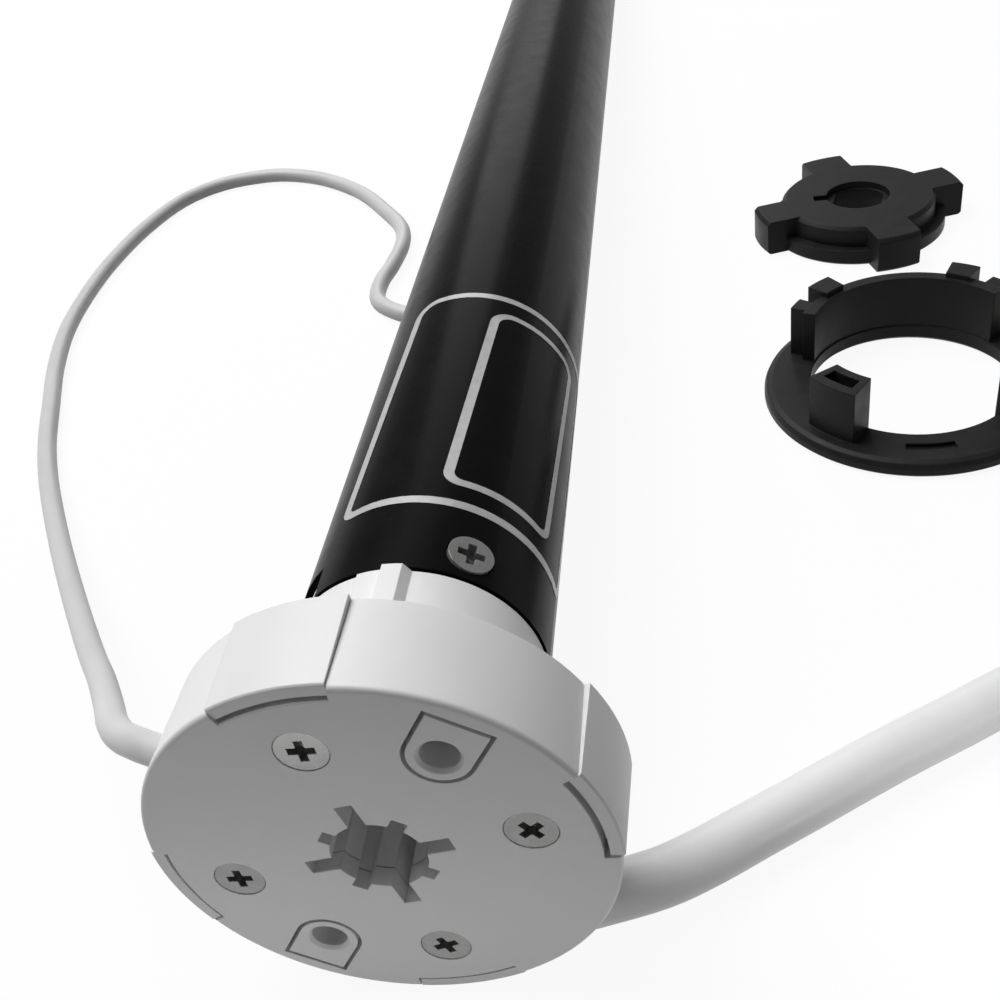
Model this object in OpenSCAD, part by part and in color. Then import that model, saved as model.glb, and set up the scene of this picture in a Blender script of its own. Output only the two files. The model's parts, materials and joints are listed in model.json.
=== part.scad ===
// Tubular roller blind motor: a 25 mm motor tube with a round white head, shown on a table
// with its crown and its drive wheel taken off and its two cords laid beside it.
// The motor's axis is +Y. The origin is the centre of the star socket on the head's face.
// Angles round the axis run from +X up towards +Z.

/* [Tube] */
// Outside diameter of the motor tube
tube_d = 25; // [24.5:0.1:27]
// Wall of the motor tube
tube_wall = 0.9; // [0.7:0.05:1.1]
// Length of the motor tube
tube_len = 375; // [365:1:450]
// Width of the slot in the tube's mouth
key_slot_w = 5; // [3:0.1:6]
// Depth of the slot in the tube's mouth
key_slot_len = 4; // [3:0.1:6]
// Angle of the slot in the tube's mouth
key_angle = 143; // [130:1:150]

/* [Head] */
// Diameter of the head's face
head_d = 39.6; // [39:0.1:44]
// Depth of the head
head_depth = 9.4; // [9.3:0.1:12]
// Angle of the first face screw, which clocks the whole head
clock = 14; // [10:1:18]
// Thickness of the cover's face plate
cover_plate = 1.7; // [1.6:0.05:2.2]
// Thickness of the cover's side wall
cover_wall = 1.5; // [1.2:0.05:1.8]
// How far the four lands stand out from the side wall, at the head's back
land_rise = 0.6; // [0.4:0.1:1.6]
// How far the lands stand out at their front
land_front_rise = 0.25; // [0.05:0.05:0.4]
// Width of a land, in degrees round the axis
land_span = 29.5; // [26:0.5:34]
// How far a land's front lies behind the face
land_drop = 0.2; // [0.1:0.05:0.6]
// How far the cover's edge is cut back in front of a land
notch_depth = 1.4; // [1:0.05:1.4]
// Radius of the rounded edge round the face
rim_round = 0.45; // [0.2:0.05:0.6]

/* [Star socket] */
// Radius of the socket's open middle
star_core_r = 4.1; // [3.6:0.1:4.4]
// Radius to the tips of the long slots
star_long_r = 6.6; // [6:0.05:7]
// Width of the long slots
star_long_w = 1.6; // [1.2:0.1:2]
// Radius to the tips of the short slots
star_short_r = 5.1; // [4.6:0.1:5.6]
// Width of the short slots
star_short_w = 1.4; // [1:0.1:2]
// Depth of the socket
star_depth = 8.6; // [6:0.1:9]

/* [Face screws and bracket bosses] */
// Circle of the face screws
face_screw_circle = 26.8; // [25:0.1:28]
// Head diameter of a face screw
face_screw_head = 4.4; // [4:0.1:4.8]
// Shank diameter of a face screw
face_screw_shank = 2; // [1.8:0.1:2.4]
// Length of a face screw
face_screw_len = 7; // [5:0.1:7.6]
// Circle of the bracket holes
boss_circle = 28.2; // [27.6:0.1:29]
// Width of a bracket boss
boss_w = 5.2; // [5:0.1:6]
// Distance from the axis to a boss's flat side
boss_reach = 18; // [17.4:0.1:18.2]
// Width of the groove round a boss
boss_groove = 0.35; // [0.2:0.05:0.5]
// Diameter of a bracket hole
boss_hole = 3.2; // [2.8:0.1:3.6]
// Depth of a bracket hole
boss_hole_depth = 7; // [4:0.1:8]

/* [Neck] */
// Length of the neck between the head and the tube
neck_len = 12.05; // [10:0.05:14]
// Step from the tube's surface down to the running ring
ring_step = 0.2; // [0.1:0.05:0.5]
// Wall of the running ring, which turns on the neck's core
ring_wall = 1.85; // [1.4:0.05:2.2]
// How far the running ring's key stands out
ring_key_rise = 0.9; // [0.5:0.1:1.2]
// Width of the running ring's key
ring_key_w = 1.9; // [1.6:0.1:3]
// Length of the plug inside the tube
plug_len = 24; // [18:1:30]
// Wall of the plug between the tube and the core's end
plug_wall = 3; // [2.4:0.1:3.6]
// Distance of the tube screws from the tube's mouth
tube_screw_inset = 3.1; // [2.8:0.1:6]
// Head diameter of a tube screw
tube_screw_head = 4.5; // [4:0.1:5]
// Angle of the tube screw that shows
tube_screw_angle = 59.5; // [50:0.5:70]

/* [Electronics] */
// Length of the control board
board_len = 105; // [90:1:110]
// Room between the control board's edges and the tube
board_edge = 2.55; // [2:0.05:3.5]
// Thickness of the control board
board_t = 1.6; // [1:0.1:2]
// Wall of the board's carrier
carrier_wall = 1.2; // [1:0.1:1.5]
// Room between the run capacitor and the carrier it lies in
capacitor_room = 2.35; // [1.5:0.05:4]
// Length of the run capacitor
capacitor_len = 38; // [30:1:42]

/* [Motor] */
// Length of the stator's laminations
stator_len = 78; // [60:1:80]
// Depth of the stator's laminations, from the tube in to their bore
stator_depth = 4.85; // [4.4:0.05:5.2]
// Air gap between the rotor and the stator
air_gap = 0.3; // [0.2:0.05:0.5]
// Length of the winding's head at each end
winding_len = 8; // [6:0.5:9]
// Number of stator slots
slot_count = 12; // [8:2:16]
// Diameter of the rotor's shaft
shaft_d = 4; // [3.8:0.1:4.2]
// Thickness of the motor's end shields
shield_t = 5; // [4:0.1:6]

/* [Brake] */
// Thickness of the brake lining
lining_t = 1.2; // [0.8:0.1:2]
// Thickness of the brake disc
disc_t = 2.5; // [2:0.1:4]
// Room between the brake disc and the tube
disc_room = 1.55; // [1.2:0.05:2.5]
// How far the brake disc travels when it lets go
brake_travel = 0.3; // [0.2:0.05:0.4]
// Length of the brake spring
spring_len = 6; // [5:0.1:8]
// Wire diameter of the brake spring
spring_wire = 0.7; // [0.5:0.05:0.9]
// Turns of the brake spring
spring_turns = 4; // [3:0.5:5]

/* [Gearbox] */
// Wall of the ring gear behind its teeth, which sets the size of every tooth
ring_gear_wall = 0.85; // [0.6:0.05:1.4]
// Teeth on each sun gear
sun_teeth = 15; // [15:3:15]
// Teeth on each planet gear
planet_teeth = 18; // [18:3:18]
// Width of the gears
gear_w = 6; // [5:0.1:8]
// Thickness of a planet carrier
carrier_t = 2.6; // [2.4:0.1:3.5]
// Diameter of the planets' pins
pin_d = 2.4; // [2:0.1:2.8]
// How much each tooth is thinned for backlash
tooth_thinning = 0.05; // [0.03:0.01:0.08]

/* [Output] */
// Diameter of the output shaft
output_d = 10; // [9:0.1:10.4]
// Width across the output shaft's flats
output_flats = 8; // [7:0.1:8.6]
// Length of the output shaft outside the end cap
output_len = 20; // [16:0.5:26]
// Length of the end cap inside the tube
cap_len = 8; // [7:0.1:12]
// Thickness of the end cap's flange
cap_flange = 2.5; // [2:0.1:4]

/* [Crown] */
// Diameter of the crown's flange
crown_d = 41.2; // [39:0.1:44]
// Gap between the running ring's key and the crown's hole
crown_fit = 0.8; // [0.2:0.05:1.1]
// Thickness of the crown's flange
crown_flange = 2.4; // [2:0.1:3]
// Height of the crown's wall
crown_h = 10.4; // [9.6:0.1:12]
// Thickness of the crown's wall
crown_wall = 1.8; // [1.4:0.1:2.2]
// Diameter over the crown's lugs
crown_lug_d = 36.6; // [35:0.1:37.4]

/* [Drive wheel] */
// Diameter over the drive wheel's lugs
wheel_d = 36; // [33:0.1:40]
// Diameter of the drive wheel's body
wheel_body_d = 26; // [22:0.1:28]
// Thickness of the drive wheel
wheel_t = 6; // [5:0.1:8]
// Width of a drive wheel's lug
wheel_lug_w = 7.2; // [5:0.1:9]
// Diameter of the drive wheel's low flange
wheel_flange_d = 29.6; // [28.4:0.1:31]
// Thickness of the drive wheel's low flange
wheel_flange_t = 2.5; // [1.5:0.1:3.5]

/* [Cords] */
// Diameter of the mains cable
mains_d = 5.6; // [5.2:0.1:6.2]
// Diameter of the antenna wire
antenna_d = 3; // [2.6:0.1:3.2]
// Turns in each of the coil's two layers
coil_turns = 3.25; // [2.25:0.5:4.25]
// Radius of the coil's innermost turn
coil_inner_r = 24; // [24:0.5:30]
// Distance from turn to turn, and from layer to layer, beyond the cable's diameter
coil_spacing = 0.7; // [0.6:0.05:1]
// Length of the bare cores at the cable's end
core_len = 26; // [16:1:40]

/* [Hidden] */
$fn = 72;

// Clearances: a fixed fit, a running fit, the gap beside a turning piece, and a cut's overshoot
fit_gap = 0.05;
run_gap = 0.05;
side_gap = 0.3;
over = 1;

// Radii taken from the driving sizes
head_r = head_d / 2;
land_r = head_r + land_rise;
land_front_r = head_r + land_front_rise;
base_r = head_r - cover_wall - fit_gap;
notch_r = head_r - notch_depth;
tube_r = tube_d / 2;
inside_r = tube_r - tube_wall - fit_gap;
ring_r = tube_r - ring_step;
core_r = ring_r - ring_wall - run_gap;
spigot_r = inside_r - plug_wall - fit_gap;

// The tube's ends along the axis
mouth_y = head_depth + neck_len;
end_y = mouth_y + tube_len;

// The gear stages, counted from the motor to the output
stages = 3;
planets = 3;
ring_teeth = sun_teeth + 2 * planet_teeth;
root_share = 1.25;
gear_module = (inside_r - ring_gear_wall) / (ring_teeth / 2 + root_share);
sun_pitch_r = gear_module * sun_teeth / 2;
planet_pitch_r = gear_module * planet_teeth / 2;
ring_pitch_r = gear_module * ring_teeth / 2;
planet_circle_r = sun_pitch_r + planet_pitch_r;
addendum = gear_module;
dedendum = root_share * gear_module;
pressure_angle = 20;
carrier_r = ring_pitch_r - addendum - 0.4;
pin_r = pin_d / 2;
stage_pitch = carrier_t + gear_w + 2 * side_gap;
cap_y = end_y - cap_len;
function carrier_back(s) = cap_y - side_gap - (stages - s) * stage_pitch;
function carrier_front(s) = carrier_back(s) - carrier_t;
function planet_front(s) = carrier_front(s) - side_gap - gear_w;
ring_y = planet_front(1) - side_gap;

// The brake and the motor, stacked back from the gearbox towards the head
flange_t = 3;
brake_rest_gap = 0.05;
flange_y = ring_y - flange_t;
disc_r = inside_r - disc_room;
lining_w = 4;
disc_back = flange_y - lining_t - brake_rest_gap;
disc_front = disc_back - disc_t;
spring_back = disc_front - brake_travel - 0.1;
hub_collar_t = 1.5;
hub_front = spring_back - spring_len - hub_collar_t;
front_shield_y = hub_front - side_gap - shield_t;
stator_back = front_shield_y - winding_len;
stator_front = stator_back - stator_len;
rear_shield_y = stator_front - winding_len - shield_t;
shaft_r = shaft_d / 2;
nose_r = shaft_r - 0.5;
bush_wall = 1.5;
winding_gap = 0.15;
stator_r = inside_r - stator_depth;
rotor_r = stator_r - air_gap;
hub_hex_r = shaft_r + 1.6;
magnet_t = 3;

// The board's carrier and what it holds, from the plug towards the motor
carrier_y = mouth_y + plug_len + 1;
board_y = carrier_y + 3;
capacitor_y = board_y + board_len + 3;
carrier_end = capacitor_y + capacitor_len + 2;
board_top = 0;
board_w = 2 * (inside_r - board_edge);
capacitor_r = inside_r - carrier_wall - capacitor_room;
capacitor_drop = capacitor_room - fit_gap;
capacitor_edge = 0.8;
lead_r = 0.9;
lead_pitch = 2.6;
relay_size = [10, 7.5, 15];
relay_y = 40;
relay_pitch = 18;
module_board = [12, 1, 20];
module_can = [10, 1.6, 13];
module_y = 8;

// The table that everything lies on: it touches the head's land and the tube's far end
tilt = atan((land_r - tube_r) / (end_y - head_depth));
function table_z(y) = -land_r + (y - head_depth) * tan(tilt);

// Where the cords leave the head, and which way
mains_exit_angle = -50;
mains_exit_dir = [0.93, 0.37, -0.15] / norm([0.93, 0.37, -0.15]);
antenna_exit_angle = 163;
antenna_exit_dir = [-0.85, 0.45, -0.2] / norm([-0.85, 0.45, -0.2]);
mains_exit_y = 5.5;
antenna_exit_y = 6.2;
collar_out = 0.5;
collar_in = 3.6;
collar_rise = 0.25;
cord_in = 3.5;
mains_collar_r = mains_d / 2 + 0.35;
antenna_collar_r = antenna_d / 2 + 0.4;
function on_rim(angle, y) = [head_r * cos(angle), y, head_r * sin(angle)];
mains_place = on_rim(mains_exit_angle, mains_exit_y);
antenna_place = on_rim(antenna_exit_angle, antenna_exit_y);
mains_exit = mains_place + collar_out * mains_exit_dir;
antenna_exit = antenna_place + collar_out * antenna_exit_dir;

// Points that the cords pass through: x, y and the height of the cord's middle above the table
mains_points = [
    [21.5, 9.2, 3.9], [26, 12, 3.25], [31, 15.4, 2.9], [36, 18.6, 2.8], [41, 21.8, 2.8], [46, 24.9, 2.8],
    [51.5, 28.1, 2.8], [56, 30.7, 3], [64, 35.3, 3.3], [72, 40, 3.4], [80, 44.8, 3.4], [88, 49.6, 3.4]
];
antenna_points = [
    [-25.7, 10.7, 23.4], [-29, 14.5, 20.9], [-32.9, 20, 17.2], [-37.8, 27, 13.8],
    [-43, 34, 11], [-53, 48.5, 6.6], [-63, 64, 3.4],
    [-72, 79.5, 1.8], [-77.5, 91, 1.5], [-82, 103, 1.5], [-86.5, 115.5, 1.5], [-90, 129, 1.5],
    [-91.5, 143, 1.5], [-91.5, 157, 1.5], [-89.5, 172, 1.5], [-85, 185, 1.5], [-77.5, 192, 1.5],
    [-68, 194, 1.5], [-60, 192.5, 1.5], [-51, 187.5, 1.5], [-41.5, 178.5, 1.5], [-34, 167.5, 1.5],
    [-29.5, 159.5, 1.5], [-28, 152, 1.5], [-28.5, 143.5, 1.5], [-29.5, 136.5, 1.5], [-28.8, 130, 1.5],
    [-25, 125.5, 1.5], [-19, 122, 1.5], [-12, 119.5, 1.5], [-5, 118.5, 1.5], [2, 118.5, 1.5]
];
function laid(p) = [p[0], p[1], table_z(p[1]) + p[2]];
mains_path = concat(
    [mains_exit - cord_in * mains_exit_dir, mains_exit, mains_exit + 3 * mains_exit_dir],
    [for (p = mains_points) laid(p)]
);
antenna_path = concat(
    [antenna_exit - cord_in * antenna_exit_dir, antenna_exit, antenna_exit + 3.2 * antenna_exit_dir],
    [for (p = antenna_points) laid(p)]
);

// A smooth line through a list of points
function between(a, b, c, d, t) =
    0.5 * (2 * b + (c - a) * t + (2 * a - 5 * b + 4 * c - d) * t * t
        + (3 * b - a - 3 * c + d) * t * t * t);
function smooth(p, steps) = concat(
    [for (i = [0 : len(p) - 2]) for (k = [0 : steps - 1])
        between(p[max(i - 1, 0)], p[i], p[i + 1], p[min(i + 2, len(p) - 1)], k / steps)],
    [p[len(p) - 1]]
);

// A tube swept along a line, as triangles
function unit(v) = v / norm(v);
function heading(p, i) = unit(p[min(i + 1, len(p) - 1)] - p[max(i - 1, 0)]);
function tube_ring(p, i, r, sides) =
    let (t = heading(p, i), side = unit(cross(t, [0, 0, 1])), up = cross(side, t))
    [for (k = [0 : sides - 1])
        p[i] + r * cos(360 * k / sides) * side + r * sin(360 * k / sides) * up];
module swept_tube(p, d, sides) {
    rings = len(p);
    points = [for (i = [0 : rings - 1]) each tube_ring(p, i, d / 2, sides)];
    walls = [for (i = [0 : rings - 2]) for (k = [0 : sides - 1])
        let (a = i * sides + k, b = i * sides + (k + 1) % sides)
        each [[a, b, b + sides], [a, b + sides, a + sides]]];
    last = (rings - 1) * sides;
    caps = [for (k = [1 : sides - 2]) each [[0, k + 1, k], [last, last + k, last + k + 1]]];
    polyhedron(points = points, faces = concat(walls, caps));
}

// The cable's coil: it spirals in, climbs a layer in the half turn where it turns back, and spirals out
coil_sides = 6;
coil_rings = 24;
coil_pitch = mains_d + coil_spacing;
coil_outer_r = coil_inner_r + coil_turns * coil_pitch;
tie_t = 0.6;
coil_start = mains_path[len(mains_path) - 1];
coil_dir = unit(coil_start - mains_path[len(mains_path) - 2]);
coil_angle = atan2(coil_dir[1], coil_dir[0]);
coil_lead = coil_start + mains_d * coil_dir;
coil_middle = [coil_lead[0] + coil_outer_r * sin(coil_angle), coil_lead[1] - coil_outer_r * cos(coil_angle)];
coil_base_h = mains_d / 2 + tie_t;
function coil_point(u) =
    let (
        r = coil_inner_r + coil_pitch * abs(u - coil_turns),
        a = coil_angle + 90 - 360 * u,
        climb = min(1, max(0, (u - coil_turns) * 2 + 0.5))
    )
    laid([coil_middle[0] + r * cos(a), coil_middle[1] + r * sin(a), coil_base_h + coil_pitch * climb]);
coil_steps = round(2 * coil_turns * coil_rings);
coil_line = [for (i = [0 : coil_steps]) coil_point(2 * coil_turns * i / coil_steps)];
// The tail runs straight off the coil, sinks to the table and ends there
tail_run = 10;
tail_sink = 36;
tail_flat = 8;
tail_steps = 18;
tail_angle = coil_angle - 720 * coil_turns;
tail_dir = [cos(tail_angle), sin(tail_angle)];
tail_side = [-sin(tail_angle), cos(tail_angle)];
tail_len = tail_run + tail_sink + tail_flat;
function ease(t) = let (c = min(1, max(0, t))) c * c * (3 - 2 * c);
function tail_spot(along, side) = [coil_line[coil_steps][0], coil_line[coil_steps][1]]
    + along * tail_dir + side * tail_side;
function tail_point(along) =
    let (spot = tail_spot(along, 0), sunk = ease((along - tail_run) / tail_sink))
    laid([spot[0], spot[1], (coil_base_h + coil_pitch) * (1 - sunk) + mains_d / 2 * sunk]);
tail_line = [for (i = [1 : tail_steps]) tail_point(tail_len * i / tail_steps)];
coil_path = concat([coil_start], coil_line, tail_line);
coil_gap = min([for (i = [0 : coil_steps]) for (j = [i + coil_rings / 2 : len(coil_path) - 2])
    norm(coil_line[i] - coil_path[j + 1])]) - mains_d;
echo("least gap between the coil's turns", coil_gap);

// Places the children with their own Z along the motor's axis
module along_axis(y = 0) translate([0, y, 0]) rotate([-90, 0, 0]) children();
// Turns the children to an angle round the axis
module at_angle(angle) rotate([0, 0, -angle]) children();
// Turns the children so that their own Z points along a direction
module pointing(dir) rotate([0, acos(dir[2]), atan2(dir[1], dir[0])]) children();
// Lays the children flat on the table
module on_table(x, y, turn = 0)
    translate(laid([x, y, 0])) rotate([tilt, 0, 0]) rotate([0, 0, turn]) children();

module tube(h, outer_r, inner_r) difference() {
    cylinder(h = h, r = outer_r);
    translate([0, 0, -over]) cylinder(h = h + 2 * over, r = inner_r);
}

// A sector of a revolved outline, centred on the children's own X
module sector(span) rotate([0, 0, -span / 2]) rotate_extrude(angle = span) children();

// The star socket's outline, with its long slots at the face screws
module star_outline() {
    circle(r = star_core_r);
    for (k = [0 : 3]) {
        at_angle(clock + 90 * k) translate([0, -star_long_w / 2]) square([star_long_r, star_long_w]);
        at_angle(clock + 45 + 90 * k) translate([0, -star_short_w / 2])
            square([star_short_r, star_short_w]);
    }
}

// A bracket boss's outline: round towards the axis and flat towards the rim
module boss_outline(grow = 0) {
    r = boss_w / 2 + grow;
    translate([boss_circle / 2, 0]) circle(r = r);
    translate([boss_circle / 2, -r]) square([boss_reach + grow - boss_circle / 2, 2 * r]);
}

// A cross recess, open towards +Z at the given height, with a pointed pit in its middle
module cross_recess(top, span, depth) {
    blade = span / 3.2;
    pit = 1.5 * depth;
    flare = 0.55 * blade / pit;
    for (turn = [0, 90]) rotate([0, 0, turn])
        translate([-span / 2, -blade / 2, top - depth]) cube([span, blade, depth + over]);
    translate([0, 0, top - pit])
        cylinder(h = pit + over, r1 = 0.25 * blade, r2 = 0.8 * blade + flare * over);
}

// The pockets that the cords' collars sit in
module collar_pockets() {
    translate(mains_place) pointing(mains_exit_dir) translate([0, 0, -collar_in])
        cylinder(h = 6 * collar_in, r = mains_collar_r + fit_gap);
    translate(antenna_place) pointing(antenna_exit_dir) translate([0, 0, -collar_in])
        cylinder(h = 6 * collar_in, r = antenna_collar_r + fit_gap);
}

// A seam shows between the cover's face plate and the base behind it
plate_seam = 0.12;
plate_back = cover_plate + plate_seam;
pilot_r = face_screw_shank / 2 + fit_gap;

// A wedge from the axis outwards, centred on the children's own X
module wedge(span, reach) polygon([
    [0, 0], reach * [cos(span / 2), -sin(span / 2)], reach * [cos(span / 2), sin(span / 2)]
]);

boss_root = 0.6;
boss_mouth = 0.3;
land_edge = 0.15;
land_groove = 0.45;

// The base's disc and its lands are one turned outline, cut to shape round the axis
module base_body() intersection() {
    rotate_extrude() polygon([
        [0, plate_back], [notch_r + land_groove, plate_back], [notch_r + land_groove, land_drop],
        [land_front_r - land_edge, land_drop], [land_front_r, land_drop + land_edge],
        [land_r, head_depth - land_edge], [land_r - land_edge, head_depth], [0, head_depth]
    ]);
    linear_extrude(head_depth + over) {
        circle(r = base_r);
        for (k = [0 : 3]) at_angle(clock + 90 * k) wedge(land_span, 2 * land_r);
    }
}

module head_base() color("white") difference() {
    along_axis() difference() {
        union() {
            base_body();
            for (a = [45, 225]) at_angle(clock + a) linear_extrude(plate_back + boss_root) boss_outline();
            translate([0, 0, head_depth - over]) cylinder(h = neck_len + over, r = core_r);
            translate([0, 0, mouth_y - over]) cylinder(h = plug_len + over, r = spigot_r);
        }
        translate([0, 0, -over]) linear_extrude(star_depth + over) star_outline();
        for (k = [0 : 3]) at_angle(clock + 90 * k)
            translate([face_screw_circle / 2, 0, 0]) cylinder(h = face_screw_len + 0.5, r = pilot_r);
        for (a = [45, 225]) at_angle(clock + a) translate([boss_circle / 2, 0, -over]) {
            cylinder(h = boss_hole_depth + over, r = boss_hole / 2);
            cylinder(h = over + boss_mouth, r1 = boss_hole / 2 + boss_mouth + over, r2 = boss_hole / 2);
        }
        translate([0, 0, head_depth + over]) cylinder(h = neck_len + plug_len, r = spigot_r - 1.5);
        for (a = [0, 180]) at_angle(tube_screw_angle + a) translate([0, 0, mouth_y + tube_screw_inset])
            rotate([0, 90, 0]) cylinder(h = core_r, r = pilot_r);
    }
    collar_pockets();
}

// The cover's turned outline, with a rounded edge between its face and its wall
rim_steps = 4;
land_play = 2 * asin(fit_gap / head_r);
module cover_profile() polygon(concat(
    [[0, 0]],
    [for (i = [0 : rim_steps]) let (a = 90 * i / rim_steps)
        [head_r - rim_round * (1 - sin(a)), rim_round * (1 - cos(a))]],
    [[head_r, head_depth], [head_r - cover_wall, head_depth], [head_r - cover_wall, cover_plate],
        [0, cover_plate]]
));

module head_cover() color("whitesmoke") difference() {
    along_axis() difference() {
        rotate_extrude() cover_profile();
        for (k = [0 : 3]) at_angle(clock + 90 * k) sector(land_span + land_play)
            translate([notch_r, -over]) square([2 * over + notch_depth, cover_plate + over + fit_gap]);
        for (k = [0 : 3]) at_angle(clock + 90 * k) sector(land_span + land_play)
            translate([base_r - over, cover_plate - fit_gap]) square([cover_wall + 2 * over, head_depth]);
        translate([0, 0, -over]) linear_extrude(cover_plate + 2 * over) star_outline();
        for (a = [45, 225]) at_angle(clock + a)
            translate([0, 0, -over]) linear_extrude(cover_plate + 2 * over) boss_outline(boss_groove);
        for (k = [0 : 3]) at_angle(clock + 90 * k) translate([face_screw_circle / 2, 0, 0]) {
            translate([0, 0, -over]) cylinder(h = cover_plate + 2 * over, r = pilot_r + 0.2);
            screw_cone(face_screw_head / 2 + fit_gap, face_screw_shank / 2 + fit_gap);
        }
    }
    collar_pockets();
}

// A countersunk head: its flat top lies at Z 0 and it narrows towards +Z
module screw_cone(top_r, shank_r) {
    translate([0, 0, -over]) cylinder(h = over + 0.2, r = top_r);
    translate([0, 0, 0.2]) cylinder(h = top_r - shank_r, r1 = top_r, r2 = shank_r);
}

recess_turns = [-28, 12, 10, -10];
module face_screws() color("silver") along_axis()
    for (k = [0 : 3]) at_angle(clock + 90 * k) translate([face_screw_circle / 2, 0, 0]) difference() {
        union() {
            screw_cone(face_screw_head / 2, face_screw_shank / 2);
            cylinder(h = face_screw_len, r = face_screw_shank / 2);
        }
        translate([0, 0, -2 * over]) cylinder(h = 2 * over + 0.05, r = face_screw_head);
        mirror([0, 0, 1]) rotate([0, 0, recess_turns[k]])
            cross_recess(-0.05, face_screw_head * 0.52, 0.9);
    }

// A collar that a cord leaves the head through, cut nearly flush with the head's wall
module collar(place, dir, outer_r, cord_r) intersection() {
    translate(place) pointing(dir) translate([0, 0, -collar_in])
        tube(6 * collar_in, outer_r, cord_r + fit_gap);
    along_axis() cylinder(h = head_depth, r = head_r + collar_rise);
}

module cable_grommet() color("gainsboro")
    collar(mains_place, mains_exit_dir, mains_collar_r, mains_d / 2);

module antenna_grommet() color("gainsboro")
    collar(antenna_place, antenna_exit_dir, antenna_collar_r, antenna_d / 2);

// The plug's key lies deep in the slot
key_drop = 0.7;
module tube_plug() color("white") along_axis(mouth_y) difference() {
    union() {
        tube(plug_len, inside_r, spigot_r + fit_gap);
        at_angle(key_angle) intersection() {
            tube(key_slot_len - 2 * fit_gap, tube_r - key_drop, inside_r - over);
            translate([0, -key_slot_w / 2 + 2 * fit_gap, 0])
                cube([tube_d, key_slot_w - 4 * fit_gap, key_slot_len]);
        }
    }
    for (a = [0, 180]) at_angle(tube_screw_angle + a)
        translate([0, 0, tube_screw_inset]) rotate([0, 90, 0]) {
        cylinder(h = tube_d, r = pilot_r);
        translate([0, 0, inside_r]) mirror([0, 0, 1])
            screw_cone(tube_screw_head / 2 + 2 * fit_gap, face_screw_shank / 2 + fit_gap);
    }
}

module motor_tube() color("black") along_axis(mouth_y) difference() {
    tube(tube_len, tube_r, tube_r - tube_wall);
    at_angle(key_angle) translate([0, -key_slot_w / 2, -over])
        cube([tube_d, key_slot_w, key_slot_len + over]);
    for (a = [0, 180]) at_angle(tube_screw_angle + a) translate([0, 0, tube_screw_inset])
        rotate([0, 90, 0]) cylinder(h = tube_d, r = tube_screw_head / 2 + 2 * fit_gap);
}

screw_proud = 0.45;

module tube_screws() color("silver") along_axis(mouth_y + tube_screw_inset)
    for (a = [0, 180]) at_angle(tube_screw_angle + a) rotate([0, 90, 0]) difference() {
        union() {
            translate([0, 0, inside_r - 0.2]) cylinder(h = tube_wall + screw_proud, r = tube_screw_head / 2);
            translate([0, 0, inside_r]) mirror([0, 0, 1]) intersection() {
                screw_cone(tube_screw_head / 2, face_screw_shank / 2);
                cylinder(h = tube_screw_head, r = tube_screw_head);
            }
            translate([0, 0, spigot_r - 1]) cylinder(h = inside_r - spigot_r, r = face_screw_shank / 2);
        }
        cross_recess(inside_r - 0.2 + tube_wall + screw_proud, tube_screw_head * 0.6, 1.1);
    }

ring_len = neck_len - 2 * side_gap;
ring_key_angle = 90;
ramp_span = 16;

// The key's outline, with a slope on one side
ring_key_slope = 0.5;
module ring_key_outline() polygon([
    [0, -ring_key_w / 2], [ring_r + ring_key_rise, -ring_key_w / 2], [ring_r + ring_key_rise, ring_key_w / 2],
    [ring_r - ring_key_slope, ring_key_w / 2 + 2 * ring_key_slope], [0, ring_key_w / 2 + 2 * ring_key_slope]
]);

// The ring's outline: a key, and a low ramp beside it
module ring_outline() difference() {
    union() {
        circle(r = ring_r);
        intersection() {
            circle(r = ring_r + ring_key_rise);
            at_angle(ring_key_angle) ring_key_outline();
        }
        intersection() {
            circle(r = ring_r + ring_key_rise / 3);
            at_angle(ring_key_angle + ramp_span / 2) wedge(ramp_span, tube_d);
        }
    }
    circle(r = core_r + run_gap);
}

module running_ring() color("white") along_axis(head_depth + side_gap)
    linear_extrude(ring_len) ring_outline();

// The board's carrier: a half shell with a rail along each edge of the board
rail_h = 2;
rail_lap = 1;
rail_len = board_y + board_len - carrier_y;
board_z = board_top - board_t;
module board_carrier() color("dimgray") along_axis(carrier_y) {
    length = carrier_end - carrier_y;
    difference() {
        tube(length, inside_r, inside_r - carrier_wall);
        translate([-tube_d, -tube_d - board_top, -over]) cube([2 * tube_d, tube_d, length + 2 * over]);
    }
    for (side = [-1, 1]) intersection() {
        cylinder(h = rail_len, r = inside_r - carrier_wall / 2);
        translate([side > 0 ? board_w / 2 - rail_lap : -tube_d, -board_z + fit_gap, 0])
            cube([tube_d - board_w / 2 + rail_lap, rail_h, rail_len]);
    }
    for (y = [capacitor_y - carrier_y - 2.5, carrier_end - carrier_y - 1.5]) difference() {
        translate([0, 0, y]) cylinder(h = 1.5, r = inside_r - carrier_wall / 2);
        translate([-tube_d, -tube_d - board_top, y - over]) cube([2 * tube_d, tube_d, 4]);
    }
}

module control_board() color("darkgreen") along_axis(board_y)
    translate([-board_w / 2, -board_top, 0]) cube([board_w, board_t, board_len]);

module on_board(y) along_axis(board_y + y) translate([0, -board_top - fit_gap, 0]) children();

module relays() color("royalblue") for (k = [0, 1]) on_board(relay_y + relay_pitch * k)
    translate([-relay_size[0] / 2, -relay_size[1], 0]) cube(relay_size);

module radio_module() color("silver") on_board(module_y) {
    translate([-module_board[0] / 2, -module_board[1], 0]) cube(module_board);
    translate([-module_can[0] / 2, -module_board[1] - module_can[1], 2])
        cube(module_can + [0, module_board[1] / 2, 0]);
}

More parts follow.
